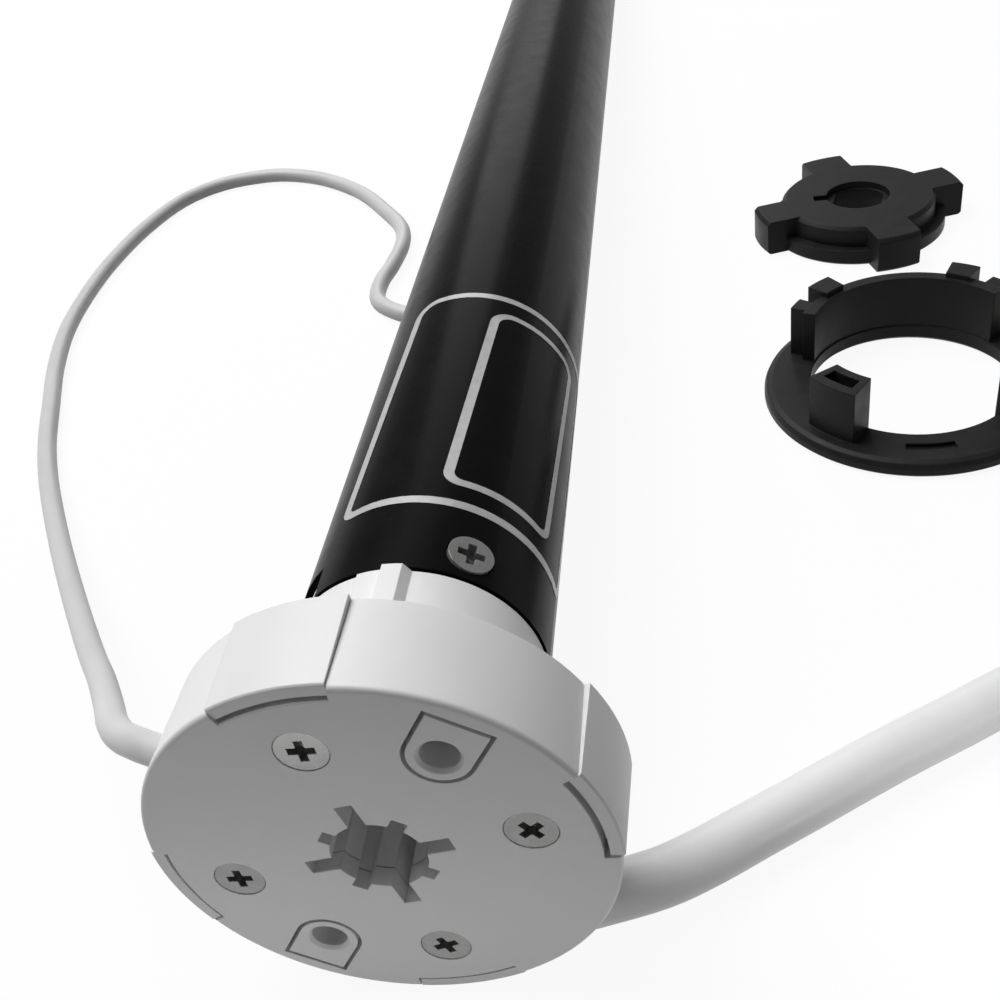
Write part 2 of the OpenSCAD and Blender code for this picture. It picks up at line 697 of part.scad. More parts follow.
module run_capacitor() color("gainsboro") along_axis(capacitor_y)
    translate([0, capacitor_drop, 0]) difference() {
        rotate_extrude() polygon([
            [0, 0], [capacitor_r - capacitor_edge, 0], [capacitor_r, capacitor_edge],
            [capacitor_r, capacitor_len - capacitor_edge], [capacitor_r - capacitor_edge, capacitor_len],
            [0, capacitor_len]
        ]);
        translate([0, 0, -over]) cylinder(h = over + 0.5, r = capacitor_r - 2 * capacitor_edge);
    }

module inner_leads() color("sienna") along_axis(head_depth + over)
    for (k = [-1, 0, 1]) translate([k * lead_pitch, -board_top - lead_r - fit_gap, 0])
        cylinder(h = board_y + 5 - head_depth - over, r = lead_r);

slot_w = 1.9;
slot_mouth = 0.7;
tooth_tip = 0.8;
yoke_t = 1.2;
slot_in = stator_r + tooth_tip;
slot_out = inside_r - yoke_t;

module stator_core() color("slategray") along_axis(stator_front) linear_extrude(stator_len) difference() {
    circle(r = inside_r);
    circle(r = stator_r);
    for (k = [0 : slot_count - 1]) rotate(360 * k / slot_count) {
        translate([slot_in, -slot_w / 2]) square([slot_out - slot_in, slot_w]);
        translate([stator_r - over, -slot_mouth / 2]) square([2 * over, slot_mouth]);
    }
}

module stator_winding() color("darkorange") along_axis(stator_front) {
    head = winding_len - side_gap - winding_gap;
    for (y = [-winding_gap - head, stator_len + winding_gap])
        translate([0, 0, y]) tube(head, slot_out - winding_gap, slot_in + winding_gap);
    for (k = [0 : slot_count - 1]) rotate(360 * k / slot_count)
        translate([slot_in + winding_gap, -slot_w / 2 + winding_gap, -winding_gap - over]) cube([
            slot_out - slot_in - 2 * winding_gap - 0.2, slot_w - 2 * winding_gap,
            stator_len + 2 * winding_gap + 2 * over
        ]);
}

module shield() difference() {
    cylinder(h = shield_t, r = inside_r);
    translate([0, 0, -over]) cylinder(h = shield_t + 2 * over, r = shaft_r + bush_wall + fit_gap);
    for (k = [0 : 3]) rotate(45 + 90 * k) translate([inside_r - 2.8, 0, -over])
        cylinder(h = shield_t + 2 * over, r = 1.2);
}

module rear_shield() color("darkgray") along_axis(rear_shield_y) shield();
module front_shield() color("darkgray") along_axis(front_shield_y) shield();

module shaft_bushes() color("darkgoldenrod") for (y = [rear_shield_y, front_shield_y])
    along_axis(y) tube(shield_t, shaft_r + bush_wall, shaft_r + run_gap);

rotor_ring = 3;
module rotor_core() color("lightslategray") along_axis(stator_front) difference() {
    union() {
        cylinder(h = stator_len, r = rotor_r);
        translate([0, 0, -rotor_ring])
            cylinder(h = stator_len + 2 * rotor_ring, r = rotor_r - 0.6);
    }
    translate([0, 0, -rotor_ring - over])
        cylinder(h = stator_len + 2 * rotor_ring + 2 * over, r = shaft_r + fit_gap);
}

shaft_front = rear_shield_y - magnet_t - 1;
nose_y = hub_front + hub_collar_t + spring_len;
sun_back = carrier_front(1) - side_gap;
module rotor_shaft() color("silver") {
    along_axis(shaft_front) cylinder(h = nose_y - shaft_front, r = shaft_r);
    along_axis(nose_y - over) cylinder(h = sun_back - nose_y + over, r = nose_r);
}

module encoder_magnet() color("dimgray") along_axis(shaft_front)
    tube(magnet_t, shaft_r + 2.5, shaft_r + fit_gap);

// The hub that turns with the shaft and that the brake disc slides on
module brake_hub() color("silver") along_axis(hub_front) difference() {
    union() {
        cylinder(h = hub_collar_t, r = hub_hex_r + 2.2);
        cylinder(h = disc_back - hub_front, r = hub_hex_r, $fn = 6);
    }
    translate([0, 0, -over]) cylinder(h = nose_y - hub_front + over + fit_gap, r = shaft_r + fit_gap);
    cylinder(h = disc_back - hub_front + over, r = nose_r + fit_gap);
}

spring_r = hub_hex_r + 0.3 + spring_wire / 2;
spring_rings = 8;
module brake_spring() color("gray") {
    steps = spring_turns * spring_rings;
    rise = spring_len - spring_wire - 0.1;
    line = [for (i = [0 : steps]) let (a = 360 * i / spring_rings)
        [spring_r * cos(a), spring_r * sin(a), spring_wire / 2 + 0.05 + rise * i / steps]];
    along_axis(hub_front + hub_collar_t) swept_tube(line, spring_wire, 6);
}

module brake_disc() color("slategray") along_axis(disc_front) difference() {
    cylinder(h = disc_t, r = disc_r);
    translate([0, 0, -over]) cylinder(h = disc_t + 2 * over, r = hub_hex_r + 2 * run_gap, $fn = 6);
}

module brake_lining() color("saddlebrown") along_axis(flange_y - lining_t)
    tube(lining_t, disc_r, disc_r - lining_w);

module gearbox_flange() color("darkgray") along_axis(flange_y) difference() {
    cylinder(h = flange_t, r = inside_r);
    translate([0, 0, -over]) cylinder(h = flange_t + 2 * over, r = nose_r + 0.3);
}

// A gear's outline with involute flanks, for teeth from a low to a high radius
function involute(a) = tan(a) * 180 / PI - a;
function half_tooth(r, pitch_r, thin) =
    let (base = pitch_r * cos(pressure_angle), a = acos(min(1, base / r)))
    (PI * gear_module / 2 - thin) / (2 * pitch_r) * 180 / PI + involute(pressure_angle) - involute(a);
module gear_outline(teeth, low_r, high_r, thin) {
    pitch_r = gear_module * teeth / 2;
    radii = [low_r, pitch_r, high_r];
    polygon([for (i = [0 : teeth - 1]) each concat(
        [for (r = radii) let (a = 360 * i / teeth - half_tooth(r, pitch_r, thin)) r * [cos(a), sin(a)]],
        [for (k = [2 : -1 : 0]) let (a = 360 * i / teeth + half_tooth(radii[k], pitch_r, thin))
            radii[k] * [cos(a), sin(a)]]
    )]);
}
module external_gear(teeth, width) linear_extrude(width) gear_outline(
    teeth, gear_module * teeth / 2 - dedendum, gear_module * teeth / 2 + addendum, tooth_thinning
);

// Turns a sun by half a tooth: the planets have a tooth on their X, where the ring has a gap
sun_phase = 180 / sun_teeth;

module ring_gear() color("silver") along_axis(ring_y) linear_extrude(cap_y - ring_y) difference() {
    circle(r = inside_r);
    gear_outline(ring_teeth, ring_pitch_r - addendum, ring_pitch_r + dedendum, -tooth_thinning);
}

module sun_gear() color("goldenrod") along_axis(planet_front(1)) difference() {
    rotate(sun_phase) external_gear(sun_teeth, gear_w);
    translate([0, 0, -over]) cylinder(h = gear_w + 2 * over, r = nose_r + fit_gap);
}

module carrier_disc() difference() {
    cylinder(h = carrier_t, r = carrier_r);
    for (k = [0 : planets - 1]) rotate(360 * k / planets) translate([planet_circle_r, 0, -over])
        cylinder(h = carrier_t + 2 * over, r = pin_r + fit_gap / 2);
}

// A carrier with the next stage's sun gear on its back
module carrier_with_sun(s) color("darkkhaki") along_axis(carrier_front(s)) {
    carrier_disc();
    translate([0, 0, carrier_t - 0.5]) rotate(sun_phase) external_gear(sun_teeth, side_gap + gear_w + 0.5);
}
module carrier_1() carrier_with_sun(1);
module carrier_2() carrier_with_sun(2);

output_hex_r = output_d / 2 - 0.6;
module carrier_3() color("darkkhaki") along_axis(carrier_front(3)) difference() {
    carrier_disc();
    translate([0, 0, -over]) cylinder(h = carrier_t + 2 * over, r = output_hex_r + fit_gap, $fn = 6);
}

module planet_pins(s) color("silver") along_axis(planet_front(s))
    for (k = [0 : planets - 1]) rotate(360 * k / planets) translate([planet_circle_r, 0, 0])
        cylinder(h = gear_w + side_gap + carrier_t, r = pin_r);
module pins_1() planet_pins(1);
module pins_2() planet_pins(2);
module pins_3() planet_pins(3);

module planet(s, k) color("ivory") along_axis(planet_front(s))
    rotate(360 * k / planets) translate([planet_circle_r, 0, 0]) difference() {
        external_gear(planet_teeth, gear_w);
        translate([0, 0, -over]) cylinder(h = gear_w + 2 * over, r = pin_r + run_gap);
    }
module planet_1a() planet(1, 0);
module planet_1b() planet(1, 1);
module planet_1c() planet(1, 2);
module planet_2a() planet(2, 0);
module planet_2b() planet(2, 1);
module planet_2c() planet(2, 2);
module planet_3a() planet(3, 0);
module planet_3b() planet(3, 1);
module planet_3c() planet(3, 2);

// The output shaft: a hexagon in the last carrier, a round journal, and two flats outside
cap_face = end_y + cap_flange;
shaft_end = cap_face + output_len;
journal_out = 3;
clip_groove = 1.1;
clip_t = 0.8;
clip_y = shaft_end - 4;
module flats(across, d, h) intersection() {
    cylinder(h = h, r = d / 2);
    translate([-d, -across / 2, 0]) cube([2 * d, across, h]);
}
module output_shaft() color("silver") difference() {
    union() {
        along_axis(carrier_front(3)) cylinder(h = carrier_t + 0.1, r = output_hex_r, $fn = 6);
        along_axis(carrier_back(3)) cylinder(h = cap_face + journal_out - carrier_back(3), r = output_d / 2);
        along_axis(cap_face + journal_out - over)
            flats(output_flats, output_d, output_len - journal_out + over);
    }
    along_axis(clip_y) tube(clip_groove, output_d, output_d / 2 - 0.8);
    along_axis(shaft_end - 0.8) difference() {
        cylinder(h = 2, r = output_d);
        cylinder(h = 0.8, r1 = output_d / 2, r2 = output_d / 2 - 0.8);
    }
}

bush_r = output_d / 2 + 2;
module output_bush() color("darkgoldenrod") along_axis(cap_y)
    tube(cap_len + cap_flange, bush_r, output_d / 2 + run_gap);

module end_cap() color("black") along_axis(cap_y) difference() {
    union() {
        cylinder(h = cap_len, r = inside_r);
        translate([0, 0, cap_len]) rotate_extrude() polygon([
            [0, 0], [tube_r - 0.1, 0], [tube_r - 0.1, cap_flange - 0.6], [tube_r - 0.7, cap_flange],
            [0, cap_flange]
        ]);
    }
    translate([0, 0, -over]) cylinder(h = cap_len + cap_flange + 2 * over, r = bush_r + fit_gap);
}

// A spring clip in the output shaft's groove, open on one side
module shaft_clip() color("gray") along_axis(clip_y + (clip_groove - clip_t) / 2) difference() {
    tube(clip_t, output_d / 2 + 1.5, output_d / 2 - 0.8 + fit_gap);
    translate([-output_d / 3, -output_d, -over]) cube([output_d / 1.5, output_d, clip_t + 2 * over]);
}

// The crown lies with its flange on the table. It is the same on both sides of its wall's middle.
crown_x = 57.8;
crown_y = 91.8;
crown_turn = 94;
wall_span = 124;
wall_step = 0.2;
lug_rise = 0.8;
block_drop = 0.2;
// Each lug's angle from the wall's middle, its width in degrees and its height beside the wall's
lugs = [[36, 13, lug_rise], [53.5, 9, -block_drop]];
block_angle = 130.5;
block_span = 23.5;
pocket_span = 16;

module crown() color("black") on_table(crown_x, crown_y, crown_turn) {
    hole_r = ring_r + ring_key_rise + crown_fit;
    rim_r = crown_d / 2;
    low = crown_flange / 2;
    difference() {
        rotate_extrude() polygon([
            [hole_r, 0.5], [hole_r + 0.5, 0], [rim_r - 0.5, 0], [rim_r, 0.5], [rim_r, crown_flange - 1],
            [rim_r - 0.3, crown_flange - 0.3], [rim_r - 1, crown_flange], [hole_r, crown_flange]
        ]);
        rotate([0, 0, 175]) sector(22)
            translate([hole_r + 2.1, crown_flange - 0.6]) square([1.3, 2]);
    }
    sector(wall_span) translate([hole_r + wall_step, low]) square([crown_wall, crown_h - low]);
    for (side = [-1, 1]) {
        for (lug = lugs) rotate([0, 0, side * lug[0]]) sector(lug[1])
            translate([hole_r + crown_wall / 2, low])
                square([crown_lug_d / 2 - hole_r - crown_wall / 2, crown_h + lug[2] - low]);
        rotate([0, 0, side * block_angle]) difference() {
            sector(block_span) translate([hole_r - 0.4, low])
                square([crown_lug_d / 2 - hole_r + 0.3, crown_h - block_drop - low]);
            sector(pocket_span) translate([hole_r + 0.8, crown_flange + 1.5]) square([2, crown_h]);
        }
    }
}

// The drive wheel lies flat behind the crown. Its hole takes the output shaft.
wheel_x = 57.2;
wheel_y = 145;
wheel_turn = 15;
wheel_fit = 0.1;
recess_r = output_d / 2 + 0.4;
recess_depth = 1.2;

module drive_wheel() color("black") on_table(wheel_x, wheel_y, wheel_turn) difference() {
    body_r = wheel_body_d / 2;
    union() {
        rotate_extrude() polygon([
            [0, 0], [wheel_flange_d / 2 - 0.4, 0], [wheel_flange_d / 2, 0.4],
            [wheel_flange_d / 2, wheel_flange_t], [body_r, wheel_flange_t], [body_r, wheel_t - 0.6],
            [body_r - 0.6, wheel_t], [0, wheel_t]
        ]);
        for (k = [0 : 3]) rotate(90 * k) intersection() {
            rotate_extrude() polygon([
                [0, 0], [wheel_d / 2 - 0.4, 0], [wheel_d / 2, 0.4], [wheel_d / 2, wheel_t - 0.6],
                [wheel_d / 2 - 0.6, wheel_t], [0, wheel_t]
            ]);
            translate([0, -wheel_lug_w / 2, -over]) cube([wheel_d, wheel_lug_w, wheel_t + 2 * over]);
        }
    }
    translate([0, 0, -over]) rotate(60)
        flats(output_flats + 2 * wheel_fit, output_d + 2 * wheel_fit, wheel_t + 2 * over);
    translate([0, 0, wheel_t - recess_depth]) cylinder(h = recess_depth + over, r = recess_r);
    rotate(165) translate([recess_r - 0.2, -1, wheel_t - 0.8]) cube([2.4, 2, 0.8 + over]);
}

module mains_cable() color("white") swept_tube(smooth(mains_path, 1), mains_d, 10);
module mains_coil() color("white") swept_tube(coil_path, mains_d, coil_sides);

// A strap round the coil's section, on the side away from the motor
tie_w = 10;
tie_turn = coil_angle - 60;
tie_gap = 0.3;
module coil_tie() color("dimgray")
    translate(laid([coil_middle[0], coil_middle[1], 0])) rotate([tilt, 0, 0]) rotate([0, 0, tie_turn])
    rotate([90, 0, 0]) translate([0, 0, -tie_w / 2]) linear_extrude(tie_w) {
        low = coil_inner_r - mains_d / 2 - tie_gap;
        high = coil_outer_r + mains_d / 2 + tie_gap;
        top = coil_base_h + coil_pitch + mains_d / 2 + tie_gap;
        difference() {
            translate([low - tie_t, 0]) square([high - low + 2 * tie_t, top + tie_t]);
            translate([low, tie_t - tie_gap / 2]) square([high - low, top - tie_t + tie_gap / 2]);
        }
    }

// The three bare cores at the cable's end fan out on the table, each with a thin metal ferrule on it
core_d = 2.1;
core_ring = 1.25;
core_fan = 5;
core_steps = 10;
ferrule_len = 8;
ferrule_d = 1.4;
function core_point(k, t) =
    let (
        fan = ease((t - 0.1) / 0.7),
        side = core_ring * cos(210 - 120 * k) * (1 - fan) + core_fan * (k - 1) * fan,
        height = (mains_d / 2 + core_ring * sin(210 - 120 * k)) * (1 - fan) + core_d / 2 * fan,
        spot = tail_spot(tail_len + fit_gap + core_len * t, side)
    )
    laid([spot[0], spot[1], height]);
function core_line(k) = [for (i = [0 : core_steps]) core_point(k, i / core_steps)];
module core_brown() color("saddlebrown") swept_tube(core_line(0), core_d, 8);
module core_blue() color("blue") swept_tube(core_line(1), core_d, 8);
module core_earth() color("green") swept_tube(core_line(2), core_d, 8);
module ferrules() color("silver") for (k = [0 : 2])
    translate(core_point(k, 1)) pointing(unit(core_point(k, 1) - core_point(k, 0.9)))
        translate([0, 0, fit_gap]) cylinder(h = ferrule_len, r = ferrule_d / 2);

module antenna_wire() color("white") swept_tube(smooth(antenna_path, 2), antenna_d, 8);

head_base();
head_cover();
face_screws();
cable_grommet();
antenna_grommet();
tube_plug();
motor_tube();
tube_screws();
running_ring();
board_carrier();
control_board();
relays();
radio_module();
run_capacitor();
inner_leads();
stator_core();
stator_winding();
rear_shield();
front_shield();
shaft_bushes();
rotor_core();
rotor_shaft();
encoder_magnet();
brake_hub();
brake_spring();
brake_disc();
brake_lining();
gearbox_flange();
ring_gear();
sun_gear();
carrier_1();
carrier_2();
carrier_3();
pins_1();
pins_2();
pins_3();
planet_1a();
planet_1b();
planet_1c();
planet_2a();
planet_2b();
planet_2c();
planet_3a();
planet_3b();
planet_3c();
output_shaft();
output_bush();
shaft_clip();
end_cap();
crown();
drive_wheel();
mains_cable();
mains_coil();
coil_tie();
core_brown();
core_blue();
core_earth();
ferrules();
antenna_wire();
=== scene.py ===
import json
import math

import bmesh
import bpy
from mathutils import Matrix, Vector


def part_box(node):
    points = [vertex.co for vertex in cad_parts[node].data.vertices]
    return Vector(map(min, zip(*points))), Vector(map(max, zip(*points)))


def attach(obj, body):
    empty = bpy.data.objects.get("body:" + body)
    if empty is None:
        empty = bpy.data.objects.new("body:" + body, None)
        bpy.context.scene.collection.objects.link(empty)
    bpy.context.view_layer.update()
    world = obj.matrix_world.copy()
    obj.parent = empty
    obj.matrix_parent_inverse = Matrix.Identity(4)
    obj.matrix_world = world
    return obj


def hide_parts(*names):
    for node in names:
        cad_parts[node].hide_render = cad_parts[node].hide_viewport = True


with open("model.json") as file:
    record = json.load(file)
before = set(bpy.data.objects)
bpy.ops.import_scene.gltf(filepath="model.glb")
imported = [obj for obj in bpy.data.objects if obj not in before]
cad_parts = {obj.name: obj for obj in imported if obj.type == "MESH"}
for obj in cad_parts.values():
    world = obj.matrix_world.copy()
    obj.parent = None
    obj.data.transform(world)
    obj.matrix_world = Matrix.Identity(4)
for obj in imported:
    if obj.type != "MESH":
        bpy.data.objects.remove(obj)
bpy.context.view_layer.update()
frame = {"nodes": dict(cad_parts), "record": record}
scene = bpy.context.scene

# Lengths are in millimetres up to the lamps, and are scaled to metres where Blender takes them
MM = 0.001
WHITE = (1, 1, 1, 1)


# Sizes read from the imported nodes
def node_box(name):
    low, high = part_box(name)
    return [v / MM for v in low], [v / MM for v in high]


base_low = node_box("head_base")[0]
cover_high = node_box("head_cover")[1]
tube_high = node_box("motor_tube")[1]
LAND_R = -base_low[2]
HEAD_R = cover_high[0]
HEAD_DEPTH = cover_high[1]
TUBE_R = tube_high[0]
TUBE_END = tube_high[1]
TABLE_SLOPE = (LAND_R - TUBE_R) / (TUBE_END - HEAD_DEPTH)


# The motor rests on its lands and on the tube's far end, so the table slopes along the tube
def table_z(y):
    return -LAND_R + (y - HEAD_DEPTH) * TABLE_SLOPE


def add_object(name, data):
    obj = bpy.data.objects.new(name, data)
    scene.collection.objects.link(obj)
    return obj


# The camera, fitted to the photograph: its focal length is in picture widths
SENSOR_WIDTH = 36.0
FOCAL_RATIO = 1.1591
CAMERA_PLACE = Vector((27.7, -55.0, 77.9))
CAMERA_RIGHT = Vector((0.9833, 0.1043, -0.1495))
CAMERA_UP = Vector((0.0545, 0.6145, 0.7871))
CLIP_START = 0.005
CLIP_END = 20.0

camera_data = bpy.data.cameras.new("camera")
camera = add_object("camera", camera_data)
camera_data.sensor_fit = "HORIZONTAL"
camera_data.sensor_width = SENSOR_WIDTH
camera_data.lens = FOCAL_RATIO * SENSOR_WIDTH
camera_data.clip_start = CLIP_START
camera_data.clip_end = CLIP_END
camera_back = CAMERA_RIGHT.cross(CAMERA_UP).normalized()
camera_right = CAMERA_UP.cross(camera_back).normalized()
camera_axes = Matrix((camera_right, CAMERA_UP.normalized(), camera_back))
camera.matrix_world = Matrix.Translation(CAMERA_PLACE * MM) @ camera_axes.transposed().to_4x4()
scene.camera = camera


# The cords: the same routes as the solids, as points on the table with a height above it
MAINS_D = 5.6
MAINS_EXIT_Y = 5.5
MAINS_EXIT_ANGLE = -50
MAINS_DIR = Vector((0.93, 0.37, -0.15)).normalized()
MAINS_STRAIGHT = 3
ANTENNA_D = 3.0
ANTENNA_EXIT_Y = 6.2
ANTENNA_EXIT_ANGLE = 163
ANTENNA_DIR = Vector((-0.85, 0.45, -0.2)).normalized()
ANTENNA_STRAIGHT = 3.2
COLLAR_OUT = 0.5
CORD_IN = 3.5
PATH_STEPS = 4
CORD_ROUNDNESS = 6

MAINS_POINTS = [
    (21.5, 9.2, 3.9), (26, 12, 3.25), (31, 15.4, 2.9), (36, 18.6, 2.8), (41, 21.8, 2.8), (46, 24.9, 2.8),
    (51.5, 28.1, 2.8), (56, 30.7, 3), (64, 35.3, 3.3), (72, 40, 3.4), (80, 44.8, 3.4), (88, 49.6, 3.4),
]
ANTENNA_POINTS = [
    (-25.7, 10.7, 23.4), (-29, 14.5, 20.9), (-32.9, 20, 17.2), (-37.8, 27, 13.8),
    (-43, 34, 11), (-53, 48.5, 6.6), (-63, 64, 3.4),
    (-72, 79.5, 1.8), (-77.5, 91, 1.5), (-82, 103, 1.5), (-86.5, 115.5, 1.5), (-90, 129, 1.5),
    (-91.5, 143, 1.5), (-91.5, 157, 1.5), (-89.5, 172, 1.5), (-85, 185, 1.5), (-77.5, 192, 1.5),
    (-68, 194, 1.5), (-60, 192.5, 1.5), (-51, 187.5, 1.5), (-41.5, 178.5, 1.5), (-34, 167.5, 1.5),
    (-29.5, 159.5, 1.5), (-28, 152, 1.5), (-28.5, 143.5, 1.5), (-29.5, 136.5, 1.5), (-28.8, 130, 1.5),
    (-25, 125.5, 1.5), (-19, 122, 1.5), (-12, 119.5, 1.5), (-5, 118.5, 1.5), (2, 118.5, 1.5),
]


def on_rim(angle, y):
    a = math.radians(angle)
    return Vector((HEAD_R * math.cos(a), y, HEAD_R * math.sin(a)))


def laid(x, y, h):
    return Vector((x, y, table_z(y) + h))


# The point at t on a Catmull-Rom curve from b to c
def between(a, b, c, d, t):
    return 0.5 * (2 * b + (c - a) * t + (2 * a - 5 * b + 4 * c - d) * t * t
                  + (3 * b - a - 3 * c + d) * t * t * t)


def smooth(points):
    line = []
    last = len(points) - 1
    for i in range(last):
        for k in range(PATH_STEPS):
            line.append(between(points[max(i - 1, 0)], points[i], points[i + 1],
                                points[min(i + 2, last)], k / PATH_STEPS))
    line.append(points[last])
    return line


mains_exit = on_rim(MAINS_EXIT_ANGLE, MAINS_EXIT_Y) + COLLAR_OUT * MAINS_DIR
mains_path = [mains_exit - CORD_IN * MAINS_DIR, mains_exit, mains_exit + MAINS_STRAIGHT * MAINS_DIR]
mains_path += [laid(*p) for p in MAINS_POINTS]
antenna_exit = on_rim(ANTENNA_EXIT_ANGLE, ANTENNA_EXIT_Y) + COLLAR_OUT * ANTENNA_DIR
antenna_path = [antenna_exit - CORD_IN * ANTENNA_DIR, antenna_exit,
                antenna_exit + ANTENNA_STRAIGHT * ANTENNA_DIR]
antenna_path += [laid(*p) for p in ANTENNA_POINTS]

# The coil: a spiral inwards on the tie, and a second layer that winds outwards on top of it
COIL_TURNS = 3.25
COIL_INNER = 24.0
COIL_GAP = 0.7
COIL_CLIMB = 0.5
COIL_STEPS = 48
TIE_T = 0.6
COIL_PITCH = MAINS_D + COIL_GAP
COIL_OUTER = COIL_INNER + COIL_TURNS * COIL_PITCH
LOWER_LAYER = MAINS_D / 2 + TIE_T
coil_start = mains_path[-1]
coil_dir = (coil_start - mains_path[-2]).normalized()
coil_angle = math.atan2(coil_dir.y, coil_dir.x)
coil_lead = coil_start + MAINS_D * coil_dir
coil_middle = (coil_lead.x + COIL_OUTER * math.sin(coil_angle),
               coil_lead.y - COIL_OUTER * math.cos(coil_angle))


def coil_point(turns):
    r = COIL_INNER + COIL_PITCH * abs(turns - COIL_TURNS)
    a = coil_angle + math.pi / 2 - 2 * math.pi * turns
    climb = min(1.0, max(0.0, (turns - COIL_TURNS) / COIL_CLIMB + 0.5))
    return laid(coil_middle[0] + r * math.cos(a), coil_middle[1] + r * math.sin(a),
                LOWER_LAYER + COIL_PITCH * climb)


coil_count = round(2 * COIL_TURNS * COIL_STEPS)
coil_line = [coil_point(2 * COIL_TURNS * i / coil_count) for i in range(coil_count + 1)]

# The tail runs off the coil, sinks to the table and ends flat on it
TAIL_RUN = 10.0
TAIL_SINK = 36.0
TAIL_FLAT = 8.0
TAIL_STEPS = 36
TAIL_LEN = TAIL_RUN + TAIL_SINK + TAIL_FLAT
tail_angle = coil_angle - 4 * math.pi * COIL_TURNS


def ease(t):
    c = min(1.0, max(0.0, t))
    return c * c * (3 - 2 * c)


def tail_point(along):
    sunk = ease((along - TAIL_RUN) / TAIL_SINK)
    height = (LOWER_LAYER + COIL_PITCH) * (1 - sunk) + MAINS_D / 2 * sunk
    return laid(coil_line[-1].x + along * math.cos(tail_angle),
                coil_line[-1].y + along * math.sin(tail_angle), height)


tail_line = [tail_point(TAIL_LEN * i / TAIL_STEPS) for i in range(1, TAIL_STEPS + 1)]


def cord_curve(name, line, diameter):
    data = bpy.data.curves.new(name, "CURVE")
    data.dimensions = "3D"
    data.bevel_depth = 1.0
    data.bevel_resolution = CORD_ROUNDNESS
    data.use_fill_caps = True
    spline = data.splines.new("POLY")
    spline.points.add(len(line) - 1)
    for point, p in zip(spline.points, line):
        point.co = (p.x * MM, p.y * MM, p.z * MM, 1.0)
        point.radius = diameter / 2 * MM
    spline.use_smooth = True
    return add_object(name, data)


mains_line = smooth(mains_path) + coil_line + tail_line
antenna_line = smooth(antenna_path)
mains = cord_curve("mains_lead", mains_line, MAINS_D)
antenna = cord_curve("antenna_lead", antenna_line, ANTENNA_D)
for obj in (mains, antenna):
    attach(obj, "motor")
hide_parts("mains_cable", "mains_coil")
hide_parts("antenna_wire")


# The plain printed lines on the tube: an outer frame and an inner one
# A point of the print is (u, y): u runs round the tube from its right side over its top, and y along it
# The whole print is turned by PRINT_LEAN, in radians, about (PRINT_MIDDLE_U, PRINT_MIDDLE_Y)
PRINT_LEAN = -0.042
PRINT_MIDDLE_U = math.radians(60) * TUBE_R
PRINT_MIDDLE_Y = 51.5
PRINT_RISE = 0.03
PRINT_SUNK = 0.02
CORNER_STEPS = 8
SIDE_STEPS = 24


# A closed loop of points round a rectangle with rounded corners
def rounded(u0, u1, y0, y1, low_r, high_r):
    corners = [(u0 + low_r, y0 + low_r, low_r, 180), (u1 - low_r, y0 + low_r, low_r, 270),
               (u1 - high_r, y1 - high_r, high_r, 0), (u0 + high_r, y1 - high_r, high_r, 90)]
    loop = []
    for k, (u, y, r, start) in enumerate(corners):
        for i in range(CORNER_STEPS + 1):
            a = math.radians(start + 90 * i / CORNER_STEPS)
            loop.append((u + r * math.cos(a), y + r * math.sin(a)))
        next_u, next_y, next_r, next_start = corners[(k + 1) % len(corners)]
        a = math.radians(next_start)
        last = loop[-1]
        first = (next_u + next_r * math.cos(a), next_y + next_r * math.sin(a))
        for i in range(1, SIDE_STEPS):
            t = i / SIDE_STEPS
            loop.append((last[0] + (first[0] - last[0]) * t, last[1] + (first[1] - last[1]) * t))
    return loop


# turns are in degrees round the tube; widths are those of the left, right, low and high line
def printed_frame(name, turns, reach, corner_r, widths):
    u0, u1 = [math.radians(turn) * TUBE_R for turn in turns]
    y0, y1 = reach
    low_r, high_r = corner_r
    left_w, right_w, low_w, high_w = widths
    inset = min(widths)
    outer = rounded(u0, u1, y0, y1, low_r, high_r)
    inner = rounded(u0 + right_w, u1 - left_w, y0 + low_w, y1 - high_w, low_r - inset, high_r - inset)
    mesh = bpy.data.meshes.new(name)
    bm = bmesh.new()

    def ring(loop, radius):
        verts = []
        for u, y in loop:
            a = (u + PRINT_LEAN * (y - PRINT_MIDDLE_Y)) / TUBE_R
            along = y - PRINT_LEAN * (u - PRINT_MIDDLE_U)
            verts.append(bm.verts.new((radius * math.cos(a) * MM, along * MM, radius * math.sin(a) * MM)))
        return verts

    rings = [ring(outer, TUBE_R - PRINT_SUNK), ring(outer, TUBE_R + PRINT_RISE),
             ring(inner, TUBE_R + PRINT_RISE), ring(inner, TUBE_R - PRINT_SUNK)]
    for a, b in zip(rings, rings[1:] + rings[:1]):
        for i in range(len(a)):
            k = (i + 1) % len(a)
            bm.faces.new((a[i], a[k], b[k], b[i]))
    bmesh.ops.recalc_face_normals(bm, faces=bm.faces)
    bm.to_mesh(mesh)
    bm.free()
    obj = add_object(name, mesh)
    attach(obj, "motor")
    return obj


outer_frame = printed_frame("label_outer_line", turns=(-8, 124.5), reach=(30.6, 72.75),
                            corner_r=(1.8, 3.2), widths=(1.03, 0.95, 1.05, 1.1))
inner_frame = printed_frame("label_inner_line", turns=(15, 76.05), reach=(34.0, 68.9),
                            corner_r=(2.0, 2.6), widths=(1.08, 0.85, 0.95, 0.95))


# Materials: clouded colour and roughness, a fine bump and, with bevel, softly lit edges
# grain and bump_grain are noise scales per metre, bump and bevel are in millimetres
NOISE_LOW = 0.3
NOISE_HIGH = 0.7
CLOUD_DETAIL = 4.0
BUMP_DETAIL = 3.0
BUMP_FINENESS = 4
BEVEL_SAMPLES = 4


